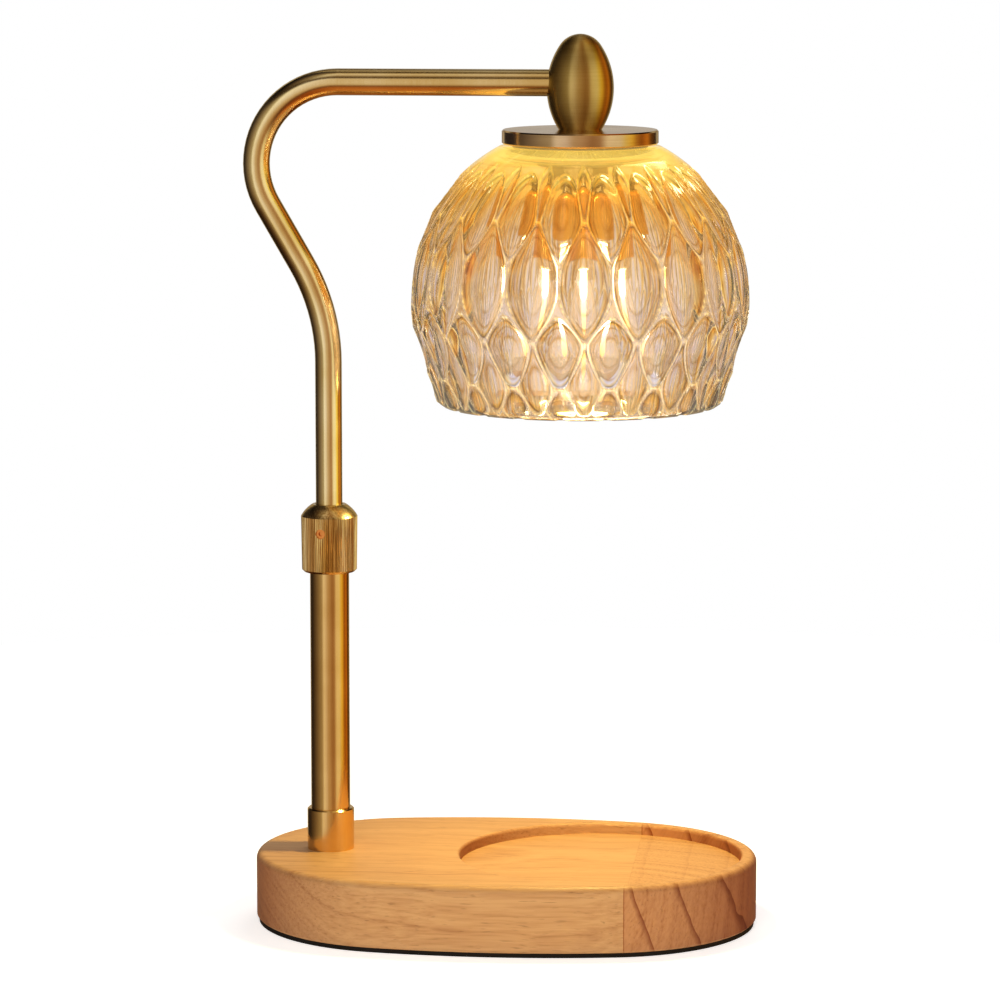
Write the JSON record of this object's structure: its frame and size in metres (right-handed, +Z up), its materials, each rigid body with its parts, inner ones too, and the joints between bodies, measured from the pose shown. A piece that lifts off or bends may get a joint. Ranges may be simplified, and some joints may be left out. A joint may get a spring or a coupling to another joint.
{
  "type": "candle warmer lamp",
  "caption": "Table lamp that warms a jar candle from above: pressed-glass shade on a brass swan-neck arm that slides and swivels in a post, locked by a knurled collar, on an oval wooden base.",
  "frame": {"origin": "centre of the underside of the oval base, on the surface it stands on", "axes": "+Z up, +X along the base from the post towards the candle seat, +Y towards the rear edge with the cord outlet"},
  "size_m": [0.1836, 0.12, 0.318],
  "materials": {
    "rubberwood": "oiled satin",
    "eva_foam": "matt closed-cell foam",
    "black_nylon": "moulded",
    "satin_brass": "brushed, lacquered",
    "plain_brass": "spun",
    "knurled_brass": "straight knurl",
    "copper_screw": "plain",
    "zinc_steel": "zinc plated",
    "white_nylon": "moulded",
    "silicone": "translucent white",
    "clear_glass": "pressed, fire polished",
    "white_ceramic": "matt",
    "nickel_pin": "plated",
    "lit_quartz": "lit, clear",
    "reflector_glass": "mirrored inside",
    "lit_glass": "lit, clear"
  },
  "bodies": {
    "base": {"base_block": "rubberwood", "base_pad": "eva_foam", "cord_outlet": "black_nylon", "post_tube": "satin_brass", "post_ferrule": "satin_brass", "post_plug": "zinc_steel", "post_nipple": "zinc_steel", "post_washer": "zinc_steel", "spring_washer": "zinc_steel", "post_nut": "zinc_steel", "post_head": "plain_brass"},
    "collet": {"arm_collet": "white_nylon"},
    "collar": {"lock_collar": "knurled_brass", "keeper_screw": "copper_screw"},
    "slider": {"guide_bush": "white_nylon"},
    "arm": {"bush_clips": "zinc_steel", "arm_tube": "satin_brass", "egg_hub": "satin_brass", "arm_end_nipple": "zinc_steel", "head_nipple": "zinc_steel", "cap_disc": "satin_brass", "cap_gasket": "silicone", "glass_shade": "clear_glass", "shade_grommet": "silicone", "clamp_washer": "zinc_steel", "clamp_nut": "zinc_steel", "socket_cup": "plain_brass", "cup_nut": "zinc_steel", "lamp_bracket": "zinc_steel", "lampholder": "white_ceramic", "holder_screws": "zinc_steel", "holder_contacts": "plain_brass"},
    "bulb": {"bulb_base": "white_ceramic", "bulb_pins": "nickel_pin", "bulb_capsule": "lit_quartz", "bulb_reflector": "reflector_glass", "bulb_cover": "lit_glass"}
  },
  "joints": [
    {"name": "height_slide", "type": "slide", "parent": "base", "child": "slider", "axis": [0, 0, 1], "range_m": [-0.045, 0.025]},
    {"name": "arm_swivel", "type": "hinge", "parent": "slider", "child": "arm", "pos_m": [-0.0635, 0, 0.0995], "axis": [0, 0, 1], "range_deg": [-90, 90]},
    {"name": "collar_lift", "type": "slide", "parent": "base", "child": "collet", "axis": [0, 0, 1], "range_m": [0, 0.0005]},
    {"name": "collar_turn", "type": "hinge", "parent": "collet", "child": "collar", "pos_m": [-0.0635, 0, 0.138], "axis": [0, 0, 1], "range_deg": [0, 180]},
    {"name": "bulb_twist", "type": "hinge", "parent": "arm", "child": "bulb", "pos_m": [0.0261, 0, 0.247], "axis": [0, 0, 1], "range_deg": [-35, 0]}
  ],
  "couplings": [
    {"joint": "collar_turn", "follows": "collar_lift", "rad_per_m": 6283.2}
  ]
}
